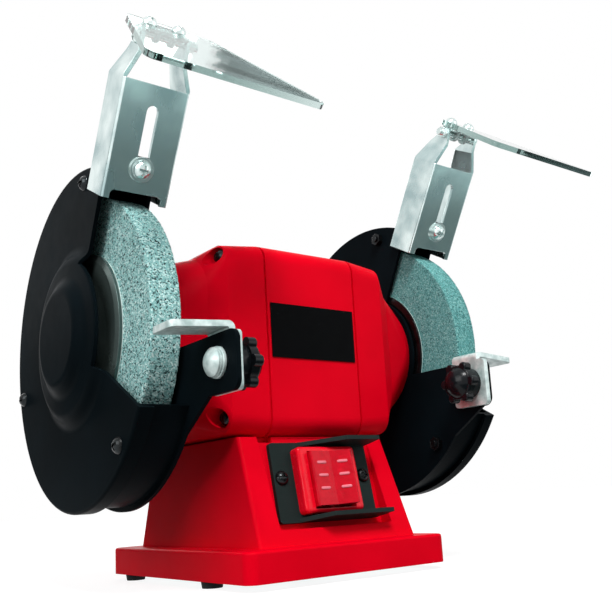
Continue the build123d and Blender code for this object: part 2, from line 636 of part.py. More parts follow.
def shield_parts():
    y, z = hinge_point()
    for side in SIDES:
        tilt = radians(SHIELD_TILT[side])
        x = BRACKET_X if side == "right" else -BRACKET_X
        plane = Plane(origin=(x, y, z), x_dir=(1, 0, 0), z_dir=(0, -sin(tilt), cos(tilt)))
        parts[f"{side}_eye_shield"] = plane * shield_sheet(SHIELD_SHIFT[side])
        parts[f"{side}_shield_clip"] = plane * shield_clip()
        screws = [plane * shield_screw(place) for place in SHIELD_SCREWS]
        parts[f"{side}_shield_screws"] = group(item.solid() for item in screws)


# Tool rests: bent plates that slide along the arm slot, held by a coach bolt and a star knob
def tool_rest(y):
    out = GUARD_BACK_X - GAP
    inner = out - REST_SHEET
    top = ARM_TOP + 4.8
    reach = 31.0
    tip = inner + reach
    drop = tan(radians(4)) * reach
    profile = [(inner, top - 9), (inner, top), (tip, top - drop), (tip, top - drop - REST_SHEET)]
    profile += [(out, top - REST_SHEET), (out, top - 9)]
    fold = make_face(Polyline(*profile, close=True))
    fold = fillet(fold.vertices().sort_by_distance((inner, top, 0))[:1], 3.2)
    fold = fillet(fold.vertices().sort_by_distance((out, top - REST_SHEET, 0))[:1], 0.8)
    plane = Plane(origin=(0, y + 12.0, 0), x_dir=(1, 0, 0), z_dir=(0, -1, 0))
    shelf = extrude(plane * fold, 18.7)
    tip_edges = shelf.edges().group_by(Axis.X)[-1].filter_by(lambda edge: edge.length < 2 * REST_SHEET)
    shelf = fillet(tip_edges, 3.0)
    web_rear = y + 12.2
    web_front = y - 11.9
    web_middle = Pos((inner + out) / 2, (web_rear + web_front) / 2, REST_BOLT_Z)
    web = web_middle * Box(REST_SHEET, web_rear - web_front, 26.4)
    web = fillet(web.edges().filter_by(Axis.X), 2.5)
    return shelf + web - disc(inner - 1, out + 1, BOLT_R + 0.2, y, REST_BOLT_Z)


def rest_bolt(y):
    """Coach bolt with a flat and a spring washer on the wheel side of the arm."""
    flat_x = GUARD_IN_X + GAP
    spring_x = flat_x + 1.2
    head_x = spring_x + 1.2
    flat = tube(flat_x, spring_x, REST_BOLT_HEAD_R + 0.6, BOLT_R, y, REST_BOLT_Z)
    spring = tube(spring_x, head_x, REST_BOLT_HEAD_R + 0.2, BOLT_R, y, REST_BOLT_Z)
    head = disc(head_x, head_x + 1, REST_BOLT_HEAD_R, y, REST_BOLT_Z)
    head += dome(head_x + 1, 3.0, REST_BOLT_HEAD_R, y, REST_BOLT_Z)
    shank = disc(GUARD_BACK_X - 14, head_x, BOLT_R, y, REST_BOLT_Z)
    return [head + shank, flat, spring]


def star_knob(y):
    """Six-lobed knob with a round neck and a domed head, on the motor side of the rest."""
    seat = GUARD_BACK_X - GAP - REST_SHEET - GAP
    head_x = seat - 6
    lobes = Circle(9.9)
    for index in range(6):
        lobes += Pos(*polar(9.7, index * 60)) * Circle(2.8)
    plane = Plane(origin=(head_x, y, REST_BOLT_Z), x_dir=(0, -1, 0), z_dir=(-1, 0, 0))
    thick = 4.8
    head = extrude(plane * lobes, thick)
    head = fillet(head.faces().sort_by(Axis.X)[0].edges(), 1.2)
    knob = head + disc(head_x - 0.5, seat, 8.6, y, REST_BOLT_Z)
    knob += dome(head_x - thick, -4.7, 8.6, y, REST_BOLT_Z)
    return knob - disc(seat - 12.5, seat + 1, BOLT_R + RUN, y, REST_BOLT_Z)


def rest_parts():
    for side in SIDES:
        y = REST_BOLT_Y[side]
        parts[f"{side}_tool_rest"] = on_side(side, tool_rest(y))
        parts[f"{side}_rest_bolt"] = group(on_side(side, item).solid() for item in rest_bolt(y))
        parts[f"{side}_star_knob"] = on_side(side, star_knob(y))


# Switch: a black guard plate with two fins round a red rocker switch
def fin(points, up0, up1):
    """A fin standing on the plate, from (x, height) points."""
    plane = Plane(origin=(0, up1, 0), x_dir=(1, 0, 0), z_dir=(0, -1, 0))
    return extrude(plane * make_face(Polyline(*points, close=True)), up1 - up0)


def switch_plate():
    plate = Pos(0, 0.5, SWITCH_PLATE_T / 2) * Box(64, 42, SWITCH_PLATE_T)
    plate = fillet(plate.edges().filter_by(Axis.Z), 2)
    plate += fin([(-14, 1), (-14, SWITCH_PLATE_T), (9, 17), (32, 17), (32, 1)], 19.3, 21.5)
    plate += fin([(-20, 1), (-20, SWITCH_PLATE_T), (-8, 17), (32, 17), (32, 1)], -20.5, -18.3)
    plate -= Box(SWITCH_SQUARE + 0.6, SWITCH_SQUARE + 0.6, 20)
    for side in (-1, 1):
        plate -= Pos(side * PLATE_SCREW[0], PLATE_SCREW[1], 0) * Cylinder(2.2, 20)
    return plate


def switch_body():
    """Square body behind the panel and a rounded bezel in front, with a window for the rocker."""
    bezel = Pos(0, 0.4, SWITCH_PLATE_T + BEZEL_HEIGHT / 2) * Box(38.5, 35, BEZEL_HEIGHT)
    bezel = fillet(bezel.edges().filter_by(Axis.Z), 2.5)
    bezel = fillet(bezel.faces().sort_by(Axis.Z)[-1].edges(), 2)
    body = bezel + Pos(0, 0, -8) * Box(SWITCH_SQUARE, SWITCH_SQUARE, 24)
    body -= Pos(0, 0, 4) * Box(2 * WINDOW[0], 2 * WINDOW[1], 24)
    return body - Pos(0, 0, ROCKER_PIVOT) * Rot(90, 0, 0) * Cylinder(ROCKER_PIN_R + RUN, 33)


def rocker():
    """Rocker with a shallow V on top, tipped to its left side, and its upright pivot pin."""
    half = 12.4
    height = 28.4
    profile = [(-half, 3), (-half, 14.5), (0, 12.5), (half, 14.5), (half, 3), (0, 0)]
    end_plane = Plane(origin=(0, height / 2, 0), x_dir=(1, 0, 0), z_dir=(0, -1, 0))
    key = extrude(end_plane * make_face(Polyline(*profile, close=True)), height)
    key = fillet(key.edges().filter_by(Axis.Y).sort_by(Axis.Z)[-3:], 1.0)
    key = Rot(0, -ROCKER_TILT, 0) * Pos(0, 0, -ROCKER_PIVOT) * key
    pin = Rot(90, 0, 0) * Cylinder(ROCKER_PIN_R, 32.4)
    return Pos(0, 0, ROCKER_PIVOT) * (key + pin)


def switch_parts():
    screws = []
    screw = Pos(0, 0, SWITCH_PLATE_T) * cap(4.0, 2.8) + Pos(0, 0, SWITCH_PLATE_T - 6) * Cylinder(1.9, 12)
    for side in (-1, 1):
        screws.append(PANEL_PLANE * (Pos(side * PLATE_SCREW[0], PLATE_SCREW[1], 0) * screw))
    parts["switch_plate"] = PANEL_PLANE * switch_plate()
    parts["switch_plate_screws"] = group(item.solid() for item in screws)
    parts["switch_body"] = PANEL_PLANE * switch_body()
    parts["rocker"] = PANEL_PLANE * rocker()


# Fittings in and on the base: capacitor with strap, terminal block, cable gland and label plate
def fitting_parts():
    floor = BASE_BOTTOM + BOTTOM_SHEET
    can_r = 13.0
    along_y = Pos(-26, 22, floor + can_r + 2.5) * Rot(90, 0, 0)
    can = along_y * Cylinder(can_r, 46)
    strap = along_y * Cylinder(can_r + 1.5, 12) + Pos(-26, 22, floor + 1.5) * Box(40, 12, 3)
    block_height = 14.0
    seat = Pos(GLAND_X, GLAND_SEAT_Y, GLAND_Z) * Rot(-90, 0, 0)
    gland = seat * Pos(0, 0, -3) * Cylinder(GLAND_R, 22) + seat * Pos(0, 0, 4) * Cylinder(GLAND_R + 3, 8)
    label_t = 0.6
    parts["run_capacitor"] = can
    parts["capacitor_strap"] = strap - along_y * Cylinder(can_r, 20)
    parts["terminal_block"] = Pos(24, 12, floor + block_height / 2) * Box(34, 16, block_height)
    parts["cable_gland"] = gland - seat * Cylinder(GLAND_BORE_R, 60)
    parts["label_plate"] = Pos(0, -BODY_HALF_Y - label_t / 2, AXIS_Z + 1.5) * Box(56.4, label_t, 29.5)


base_parts()
motor_parts()
rotor_parts()
guard_parts()
bracket_parts()
shield_parts()
rest_parts()
switch_parts()
fitting_parts()

os.makedirs("parts", exist_ok=True)
for node, shape in parts.items():
    export_step(Pos(0, -FOOT_MID_Y, 0) * shape, f"parts/{node}.step")
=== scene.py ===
from math import cos, pi, radians, sin

import bpy
from mathutils import Matrix, Vector


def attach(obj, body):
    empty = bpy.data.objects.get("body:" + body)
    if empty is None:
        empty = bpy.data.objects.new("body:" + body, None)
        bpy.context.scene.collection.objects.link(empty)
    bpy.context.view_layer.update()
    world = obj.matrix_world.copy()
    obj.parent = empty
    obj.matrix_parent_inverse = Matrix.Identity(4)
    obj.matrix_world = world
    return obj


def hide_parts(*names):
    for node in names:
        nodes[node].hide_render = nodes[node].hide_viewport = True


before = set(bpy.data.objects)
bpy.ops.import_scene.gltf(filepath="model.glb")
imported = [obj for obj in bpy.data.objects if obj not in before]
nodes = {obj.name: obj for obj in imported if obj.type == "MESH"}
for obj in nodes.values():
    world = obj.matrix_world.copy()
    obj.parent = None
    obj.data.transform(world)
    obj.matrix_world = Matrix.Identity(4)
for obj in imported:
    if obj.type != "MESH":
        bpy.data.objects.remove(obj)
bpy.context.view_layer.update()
mm = 0.001


# Studio: a pale paper floor under a plain white surround, lit by four soft boxes, with the key light high
# on the operator's left and the camera low on the same side. Four glowing cards, unseen by the camera, show
# only to mirror or see-through rays, where they are painted reflections: one at the rear and one on the floor
# for the metal, two for the left eye shield.
def linear(hex_colour):
    """An sRGB hex colour as linear RGBA."""
    channels = [int(hex_colour[i : i + 2], 16) / 255 for i in (1, 3, 5)]
    return (*[c / 12.92 if c <= 0.04045 else ((c + 0.055) / 1.055) ** 2.4 for c in channels], 1.0)


def add(tree, kind, inputs=None, **settings):
    """Adds a node with its settings. An input takes a value, or the node or socket it is linked from."""
    node = tree.nodes.new(kind)
    for name, value in settings.items():
        setattr(node, name, value)
    for socket, value in (inputs or {}).items():
        for item in value if isinstance(value, list) else [value]:
            source = item.outputs[0] if isinstance(item, bpy.types.Node) else item
            if isinstance(source, bpy.types.NodeSocket):
                tree.links.new(source, node.inputs[socket])
            else:
                node.inputs[socket].default_value = source
    return node


def open_tree(owner):
    """The empty shader tree of a material or world."""
    owner.use_nodes = True
    owner.node_tree.nodes.clear()
    return owner.node_tree


def seen_rays(tree):
    """1 for camera, mirror and see-through rays, which are shown the white surround."""
    rays = add(tree, "ShaderNodeLightPath").outputs
    seen = rays["Is Camera Ray"]
    for kind in ("Is Glossy Ray", "Is Transmission Ray"):
        seen = add(tree, "ShaderNodeMath", {0: seen, 1: rays[kind]}, operation="MAXIMUM")
    return seen


def stand(thing):
    """Puts an object in the scene."""
    scene.collection.objects.link(thing)
    return thing


scene = bpy.context.scene
scene.view_settings.view_transform = "Standard"

CAMERA_AT = Vector((-266.1, -412.6, 40.8)) * mm
CAMERA_YAW = radians(-36.9)
CAMERA_PITCH = radians(10.46)
CAMERA_ROLL = radians(-3.24)
camera = stand(bpy.data.objects.new("camera", bpy.data.cameras.new("camera")))
camera.data.sensor_width = 36.0
camera.data.lens = 47.55
camera.data.shift_y = 0.0719
camera.data.clip_start = 0.01
aim = Matrix.Rotation(CAMERA_YAW, 4, "Z") @ Matrix.Rotation(CAMERA_PITCH + pi / 2, 4, "X")
camera.matrix_world = Matrix.Translation(CAMERA_AT) @ aim @ Matrix.Rotation(CAMERA_ROLL, 4, "Z")
scene.camera = camera

WHITE = (1, 1, 1, 1)
WORLD_FILL = 0.27
scene.world = bpy.data.worlds.new("white_surround")
tree = open_tree(scene.world)
level = add(tree, "ShaderNodeMapRange", {"Value": seen_rays(tree), "To Min": WORLD_FILL, "To Max": 1.0})
surround = add(tree, "ShaderNodeBackground", {"Color": WHITE, "Strength": level})
add(tree, "ShaderNodeOutputWorld", {"Surface": surround})


def studio_sheet(name, corners):
    """A flat sheet of the studio, with an empty tree for its paper."""
    mesh = bpy.data.meshes.new(name)
    mesh.from_pydata(corners, [], [(0, 1, 2, 3)])
    sheet = stand(bpy.data.objects.new(name, mesh))
    mesh.materials.append(bpy.data.materials.new(name + "_paper"))
    return sheet, open_tree(mesh.materials[0])


# The floor glows a little less near the machine, so that it keeps a soft shadow.
FLOOR_HALF = 6.0
FLOOR_GLOW = 0.84
FLOOR_NEAR = 0.35
FLOOR_FAR = 1.3
FLOOR = [(sx * FLOOR_HALF, sy * FLOOR_HALF, 0) for sx, sy in ((-1, -1), (1, -1), (1, 1), (-1, 1))]
_, tree = studio_sheet("floor", FLOOR)
lit = add(tree, "ShaderNodeBsdfDiffuse", {"Color": linear("#8C8C8C")})
where = add(tree, "ShaderNodeTexCoord").outputs["Object"]
away = add(tree, "ShaderNodeVectorMath", {0: where}, operation="LENGTH").outputs["Value"]
paling = add(tree, "ShaderNodeMapRange", {"Value": away, "From Min": FLOOR_NEAR, "From Max": FLOOR_FAR,
                                          "To Min": FLOOR_GLOW})
amount = add(tree, "ShaderNodeMath", {0: seen_rays(tree), 1: paling}, operation="MULTIPLY")
glow = add(tree, "ShaderNodeEmission", {"Color": WHITE, "Strength": amount})
add(tree, "ShaderNodeOutputMaterial", {"Surface": add(tree, "ShaderNodeAddShader", {0: lit, 1: glow})})


def studio_card(name, corners, ray, place=Matrix()):
    """A sheet that only one kind of ray may meet."""
    card, tree = studio_sheet(name, corners)
    card.matrix_world = place
    for other in ("camera", "diffuse", "shadow", "glossy", "transmission"):
        setattr(card, f"visible_{other}", other == ray)
    return tree


# The rear card is a painted reflection: a dark glow that only mirror rays meet, to darken the shiny parts.
REAR_CARD = [(-2.2, 0.4, 0.0), (-0.45, 1.8, 0.0), (-0.45, 1.8, 0.5), (-2.2, 0.4, 0.5)]
tree = studio_card("rear_card", REAR_CARD, "glossy")
darkened = add(tree, "ShaderNodeEmission", {"Color": linear("#1A1D1F")})
add(tree, "ShaderNodeOutputMaterial", {"Surface": darkened})

# The card on the floor in front is a painted reflection for the metal.
# It is darkest near the machine, and pales with distance.
FRONT_CARD = [(-0.3, -0.2, 0.003), (-0.15, -0.66, 0.003), (0.9, -0.66, 0.003), (0.75, -0.1, 0.003)]
FRONT_NEAR = -0.42
FRONT_FAR = -0.6
FRONT_DARKEST = 0.16
FRONT_PALEST = 0.9
tree = studio_card("front_card", FRONT_CARD, "glossy")
where = add(tree, "ShaderNodeTexCoord").outputs["Object"]
away = add(tree, "ShaderNodeSeparateXYZ", {"Vector": where}).outputs["Y"]
level = add(tree, "ShaderNodeMapRange", {"Value": away, "From Min": FRONT_NEAR, "From Max": FRONT_FAR,
                                         "To Min": FRONT_DARKEST, "To Max": FRONT_PALEST},
            interpolation_type="SMOOTHSTEP")
paled = add(tree, "ShaderNodeEmission", {"Color": linear("#DAFFFF"), "Strength": level})
add(tree, "ShaderNodeOutputMaterial", {"Surface": paled})

# Two streaked cards face the far half of the left shield: one square to the view behind it, one overhead.
# Their dark streaks are painted: the card behind is seen only through the shield, the one overhead only as
# its reflection.
STREAKED = [(-0.13, -0.2, 0), (0.22, -0.2, 0), (0.22, 0.2, 0), (-0.13, 0.2, 0)]
STREAK_SIZE = (0.4, 0.02, 1)
STREAK_DARKEST = 0.01
RAGGED_SIZE = (5, 0.012, 1)
RAGGED_FROM = -0.12
RAGGED_TO = -0.06
square_to_view = Matrix.Translation((-0.058, 0.442, -1.3)) @ Matrix.Rotation(radians(-18), 4, "Z")
BEHIND = camera.matrix_world @ square_to_view
OVERHEAD = Matrix.Translation((0.75, 0.66, 1.5))
STREAKED_CARDS = (("shield_card", "transmission", BEHIND, 0.25), ("ceiling_card", "glossy", OVERHEAD, 0.75))
for name, ray, place, palest in STREAKED_CARDS:
    tree = studio_card(name, STREAKED, ray, place)
    where = add(tree, "ShaderNodeTexCoord").outputs["Object"]
    along = add(tree, "ShaderNodeMapping", {"Vector": where, "Scale": STREAK_SIZE}, vector_type="TEXTURE")
    streaks = add(tree, "ShaderNodeTexNoise", {"Vector": along, "Scale": 1.0, "Detail": 4.0})
    tone = add(tree, "ShaderNodeMapRange", {"Value": streaks, "From Min": 0.4, "From Max": 0.64,
                                            "To Min": STREAK_DARKEST, "To Max": palest})
    ends = add(tree, "ShaderNodeMapping", {"Vector": where, "Scale": RAGGED_SIZE}, vector_type="TEXTURE")
    ragged = add(tree, "ShaderNodeTexNoise", {"Vector": ends, "Scale": 1.0, "Detail": 2.0})
    start = add(tree, "ShaderNodeMapRange", {"Value": ragged, "From Min": 0.3, "From Max": 0.7,
                                             "To Min": RAGGED_FROM, "To Max": RAGGED_TO})
    across = add(tree, "ShaderNodeSeparateXYZ", {"Vector": where})
    inside = add(tree, "ShaderNodeMath", {0: across, 1: start}, operation="GREATER_THAN")
    level = add(tree, "ShaderNodeMix", {"Factor": inside, "A": 1.0, "B": tone})
    tint = add(tree, "ShaderNodeMixRGB", {"Fac": inside, "Color1": WHITE, "Color2": linear("#C6DEDE")})
    streaked = add(tree, "ShaderNodeEmission", {"Color": tint, "Strength": level})
    add(tree, "ShaderNodeOutputMaterial", {"Surface": streaked})

LAMPS_FACE = Vector((0.0, 0.0, 0.13))


def soft_box(name, at, size, watts):
    """A square lamp that faces the middle of the machine."""
    lamp = stand(bpy.data.objects.new(name, bpy.data.lights.new(name, "AREA")))
    lamp.data.shape = "SQUARE"
    lamp.data.size = size
    lamp.data.energy = watts
    lamp.location = at
    lamp.rotation_euler = (LAMPS_FACE - Vector(at)).to_track_quat("-Z", "Y").to_euler()


soft_box("key_lamp", (-0.4, -0.9, 1.3), size=0.4, watts=20.5)
soft_box("left_lamp", (-1.15, -0.4, 0.7), size=0.8, watts=9.0)
soft_box("right_lamp", (0.8, -1.2, 0.5), size=0.8, watts=2.5)
soft_box("back_lamp", (0.4, 1.3, 0.9), size=0.8, watts=8.0)

# Base casting: a plinth and pedestal in one, die-cast in aluminium with drafted sides and rounded edges.
# It is sprayed with enamel, as the motor housing is.
ENAMEL_DRIFT = 45 * mm
ENAMEL_CLOUD = 8 * mm
PEEL_SIZE = 1.5 * mm
PEEL_DEPTH = 0.02 * mm
ENAMEL_EDGE = 0.5 * mm


def paint(material, *names):
    """Gives CAD nodes a material."""
    for name in names:
        nodes[name].data.materials.clear()
        nodes[name].data.materials.append(material)


def open_finish(name):
    """A new material, with its empty tree and the Object coordinates in it."""
    material = bpy.data.materials.new(name)
    tree = open_tree(material)
    return material, tree, add(tree, "ShaderNodeTexCoord").outputs["Object"]


def enamel(name, light, dark, roughness, gloss):
    """Sprayed enamel: a flat colour with a slow drift, over shallow orange peel.
    Edges catch a soft line of light."""
    material, tree, where = open_finish(name)
    drift = add(tree, "ShaderNodeTexNoise", {"Vector": where, "Scale": 1 / ENAMEL_DRIFT})
    amount = add(tree, "ShaderNodeMapRange", {"Value": drift, "From Min": 0.35, "From Max": 0.65})
    colour = add(tree, "ShaderNodeMixRGB", {"Fac": amount, "Color1": linear(dark), "Color2": linear(light)})
    cloud = add(tree, "ShaderNodeTexNoise", {"Vector": where, "Scale": 1 / ENAMEL_CLOUD, "Detail": 3.0})
    rough = add(tree, "ShaderNodeMapRange", {"Value": cloud, "To Min": roughness - 0.08,
                                             "To Max": roughness + 0.08})
    peel = add(tree, "ShaderNodeTexNoise", {"Vector": where, "Scale": 1 / PEEL_SIZE})
    edge = add(tree, "ShaderNodeBevel", {"Radius": ENAMEL_EDGE}, samples=4)
    relief = add(tree, "ShaderNodeBump", {"Height": peel, "Distance": PEEL_DEPTH, "Strength": 0.4,
                                          "Normal": edge})
    shader = add(tree, "ShaderNodeBsdfPrincipled", {"Base Color": colour, "Roughness": rough,
                                                    "Specular IOR Level": gloss, "Normal": relief})
    add(tree, "ShaderNodeOutputMaterial", {"Surface": shader})
    return material


red_enamel = enamel("gloss_red_enamel", "#E1001C", "#D60019", roughness=0.38, gloss=0.02)
paint(red_enamel, "base_casting")

# Feet: four tapered pads of moulded black rubber under the plinth's mounting bosses, round the bench holes.
# The rubber is matt, with a dusty bloom.
BLOOM_SIZE = 6 * mm
GRAIN_DEPTH = 0.03 * mm


def moulded(name, light, dark, roughness, gloss, grain):
    """Moulded plastic or rubber, or foil or card: a faint bloom over a fine texture, with its grain in mm."""
    material, tree, where = open_finish(name)
    bloom = add(tree, "ShaderNodeTexNoise", {"Vector": where, "Scale": 1 / BLOOM_SIZE, "Detail": 4.0})
    colour = add(tree, "ShaderNodeMixRGB", {"Fac": bloom, "Color1": linear(dark), "Color2": linear(light)})
    texture = add(tree, "ShaderNodeTexNoise", {"Vector": where, "Scale": 1 / (grain * mm), "Detail": 3.0})
    rough = add(tree, "ShaderNodeMapRange", {"Value": texture, "To Min": roughness - 0.1,
                                             "To Max": roughness + 0.1})
    relief = add(tree, "ShaderNodeBump", {"Height": texture, "Distance": GRAIN_DEPTH, "Strength": 0.4})
    shader = add(tree, "ShaderNodeBsdfPrincipled", {"Base Color": colour, "Roughness": rough,
                                                    "Specular IOR Level": gloss, "Normal": relief})
    add(tree, "ShaderNodeOutputMaterial", {"Surface": shader})
    return material


black_rubber = moulded("moulded_black_rubber", "#26282A", "#101214", roughness=0.75, gloss=0.2, grain=0.5)
paint(black_rubber, "rubber_feet")

# Bottom plate: a zinc-plated steel sheet that closes the base, with four cross-recess screws into bosses.
# Plating leaves a cloudy film, and the rolled sheet under it leaves fine streaks.
SCUFF_SIZE = 0.8 * mm
SCUFF_DEPTH = 0.01 * mm
SCUFF_SHARE = 0.08
METAL_EDGE = 0.4 * mm


def metal(name, light, dark, roughness, metallic=1.0, cloud=28.0, streak=(1.0, 1.0, 1.0), lean=0.0):
    """Bare or plated metal: a film with clouds sized in mm over scuffs, which may be drawn into streaks.
    Real scuffs are finer, and are drawn this coarse so that they show."""
    material, tree, where = open_finish(name)
    film = add(tree, "ShaderNodeTexNoise", {"Vector": where, "Scale": 1 / (cloud * mm), "Detail": 2.0})
    along = add(tree, "ShaderNodeMapping", {"Vector": where, "Rotation": (lean, 0, 0), "Scale": streak},
                vector_type="TEXTURE")
    scuffs = add(tree, "ShaderNodeTexNoise", {"Vector": along, "Scale": 1 / SCUFF_SIZE, "Detail": 3.0})
    mixed = add(tree, "ShaderNodeMix", {"Factor": SCUFF_SHARE, "A": film, "B": scuffs})
    amount = add(tree, "ShaderNodeMapRange", {"Value": mixed, "From Min": 0.36, "From Max": 0.64})
    colour = add(tree, "ShaderNodeMixRGB", {"Fac": amount, "Color1": linear(dark), "Color2": linear(light)})
    rough = add(tree, "ShaderNodeMapRange", {"Value": amount, "To Min": roughness + 0.1,
                                             "To Max": roughness - 0.06})
    edge = add(tree, "ShaderNodeBevel", {"Radius": METAL_EDGE}, samples=4)
    relief = add(tree, "ShaderNodeBump", {"Height": scuffs, "Distance": SCUFF_DEPTH, "Strength": 0.3,
                                          "Normal": edge})
    shader = add(tree, "ShaderNodeBsdfPrincipled", {"Base Color": colour, "Roughness": rough,
                                                    "Metallic": metallic, "Normal": relief})
    add(tree, "ShaderNodeOutputMaterial", {"Surface": shader})
    return material


def sized_tree(name, sizes):
    """An empty geometry tree with a named input for each size and one for the finish."""
    tree = bpy.data.node_groups.new(name, "GeometryNodeTree")
    tree.interface.new_socket("Geometry", in_out="INPUT", socket_type="NodeSocketGeometry")
    for size in sizes:
        tree.interface.new_socket(size, in_out="INPUT", socket_type="NodeSocketFloat")
    tree.interface.new_socket("Finish", in_out="INPUT", socket_type="NodeSocketMaterial")
    tree.interface.new_socket("Geometry", in_out="OUTPUT", socket_type="NodeSocketGeometry")
    return tree, add(tree, "NodeGroupInput").outputs


def close_tree(tree, made, finish):
    """Realizes what a tree made and gives it its finish."""
    real = add(tree, "GeometryNodeRealizeInstances", {"Geometry": made})
    finished = add(tree, "GeometryNodeSetMaterial", {"Geometry": real, "Material": finish})
    add(tree, "NodeGroupOutput", {0: finished})


def grow(name, seed, tree, smooth, **values):
    """Runs a geometry tree on a seed mesh and keeps the result as a plain piece."""
    piece = stand(bpy.data.objects.new(name, seed))
    growth = piece.modifiers.new("growth", "NODES")
    growth.node_group = tree
    for socket in tree.interface.items_tree:
        if socket.in_out == "INPUT" and socket.name in values:
            growth[socket.identifier] = values[socket.name]
    mesh = bpy.data.meshes.new_from_object(piece.evaluated_get(bpy.context.evaluated_depsgraph_get()))
    piece.modifiers.remove(growth)
    piece.data = mesh
    mesh.shade_smooth()
    mesh.set_sharp_from_angle(angle=radians(smooth))
    return piece


def seat_points(name, seats):
    """Loose points in metres from (place in mm, outward direction) seats."""
    seed = bpy.data.meshes.new(name)
    seed.from_pydata([Vector(at) * mm for at, _ in seats], [], [])
    out = seed.attributes.new("out", "FLOAT_VECTOR", "POINT")
    for point, (_, direction) in zip(out.data, seats):
        point.vector = direction
    return seed


# A screw's head is the cap of a ball, cut flat below and by two crossed bars above, on a plain shank.
# Each screw is driven home at an angle of its own.
SCREW_SIZES = ("Head", "Rise", "Ball", "Cross", "Bar", "Depth", "Shank", "Length")
SHANK_MIDDLE = -0.48
screw_tree, size = sized_tree("cross_screw", SCREW_SIZES)
tree = screw_tree
head_top = add(tree, "ShaderNodeCombineXYZ", {"Z": size["Rise"]})
ball = add(tree, "GeometryNodeMeshUVSphere", {"Segments": 32, "Rings": 24, "Radius": size["Ball"]})
sunk = add(tree, "ShaderNodeMath", {0: size["Rise"], 1: size["Ball"]}, operation="SUBTRACT")
ball_at = add(tree, "ShaderNodeCombineXYZ", {"Z": sunk})
ball = add(tree, "GeometryNodeTransform", {"Geometry": ball, "Translation": ball_at})
wide = add(tree, "ShaderNodeMath", {0: size["Head"], 1: 3.0}, operation="MULTIPLY")
tall = add(tree, "ShaderNodeMath", {0: size["Rise"], 1: 2.0}, operation="MULTIPLY")
block_size = add(tree, "ShaderNodeCombineXYZ", {"X": wide, "Y": wide, "Z": tall})
block = add(tree, "GeometryNodeMeshCube", {"Size": block_size})
block = add(tree, "GeometryNodeTransform", {"Geometry": block, "Translation": head_top})
head = add(tree, "GeometryNodeMeshBoolean", {1: [ball, block]}, operation="INTERSECT", solver="EXACT")
deep = add(tree, "ShaderNodeMath", {0: size["Depth"], 1: 2.0}, operation="MULTIPLY")
bars = []
for x, y in (("Cross", "Bar"), ("Bar", "Cross")):
    bar_size = add(tree, "ShaderNodeCombineXYZ", {"X": size[x], "Y": size[y], "Z": deep})
    bar = add(tree, "GeometryNodeMeshCube", {"Size": bar_size})
    bars.append(add(tree, "GeometryNodeTransform", {"Geometry": bar, "Translation": head_top}))
head = add(tree, "GeometryNodeMeshBoolean", {0: head, 1: bars}, operation="DIFFERENCE", solver="EXACT")
shank = add(tree, "GeometryNodeMeshCylinder", {"Vertices": 24, "Radius": size["Shank"],
                                               "Depth": size["Length"]})
below = add(tree, "ShaderNodeMath", {0: size["Length"], 1: SHANK_MIDDLE}, operation="MULTIPLY")
shank_at = add(tree, "ShaderNodeCombineXYZ", {"Z": below})
shank = add(tree, "GeometryNodeTransform", {"Geometry": shank, "Translation": shank_at})
screw = add(tree, "GeometryNodeMeshBoolean", {1: [head, shank]}, operation="UNION", solver="EXACT")
facing = add(tree, "GeometryNodeInputNamedAttribute", {"Name": "out"}, data_type="FLOAT_VECTOR")
facing = add(tree, "FunctionNodeAlignRotationToVector", {"Vector": facing}, axis="Z")
screws = add(tree, "GeometryNodeInstanceOnPoints", {"Points": size["Geometry"], "Instance": screw,
                                                    "Rotation": facing})
chance = add(tree, "FunctionNodeRandomValue", {"Seed": 7}, data_type="FLOAT").outputs[1]
turn = add(tree, "ShaderNodeMath", {0: chance, 1: 2 * pi}, operation="MULTIPLY")
driven = add(tree, "ShaderNodeCombineXYZ", {"Z": turn})
screws = add(tree, "GeometryNodeRotateInstances", {"Instances": screws, "Rotation": driven})
close_tree(tree, screws, size["Finish"])


def cross_screws(name, node, body, finish, seats, head, rise, shank, length):
    """A group of like screws, sized in mm, that stands for a CAD node."""
    ball = (head**2 + rise**2) / (2 * rise)
    piece = grow(name, seat_points(name, seats), screw_tree, smooth=35, Finish=finish, Head=head * mm,
                 Rise=rise * mm, Ball=ball * mm, Cross=1.15 * head * mm, Bar=0.28 * head * mm,
                 Depth=0.5 * rise * mm, Shank=shank * mm, Length=length * mm)
    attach(piece, body)
    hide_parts(node)


plain_zinc = metal("zinc_plated_steel", "#CDD8D7", "#98A7A8", roughness=0.34)
paint(plain_zinc, "bottom_plate")
BASE_SCREW_X = 30
BASE_SCREW_Y = (53, -78)
BASE_SCREW_Z = 3.5
seats = [((x, y, BASE_SCREW_Z), (0, 0, -1)) for x in (-BASE_SCREW_X, BASE_SCREW_X) for y in BASE_SCREW_Y]
cross_screws("base_screws", "bottom_plate_screws", "frame", plain_zinc, seats,
             head=3.6, rise=1.5, shank=1.7, length=8.0)

# Inside the base: a run capacitor in a drawn aluminium can under a steel strap, and a moulded terminal block.
# A moulded gland lines the cable hole at the back.
black_plastic = moulded("moulded_black_plastic", "#101418", "#0A0D10", roughness=0.22, gloss=0.16, grain=0.6)
paint(black_plastic, "terminal_block", "cable_gland")
paint(metal("drawn_aluminium_can", "#CBCED1", "#AEB2B6", roughness=0.3), "run_capacitor")
paint(plain_zinc, "capacitor_strap")

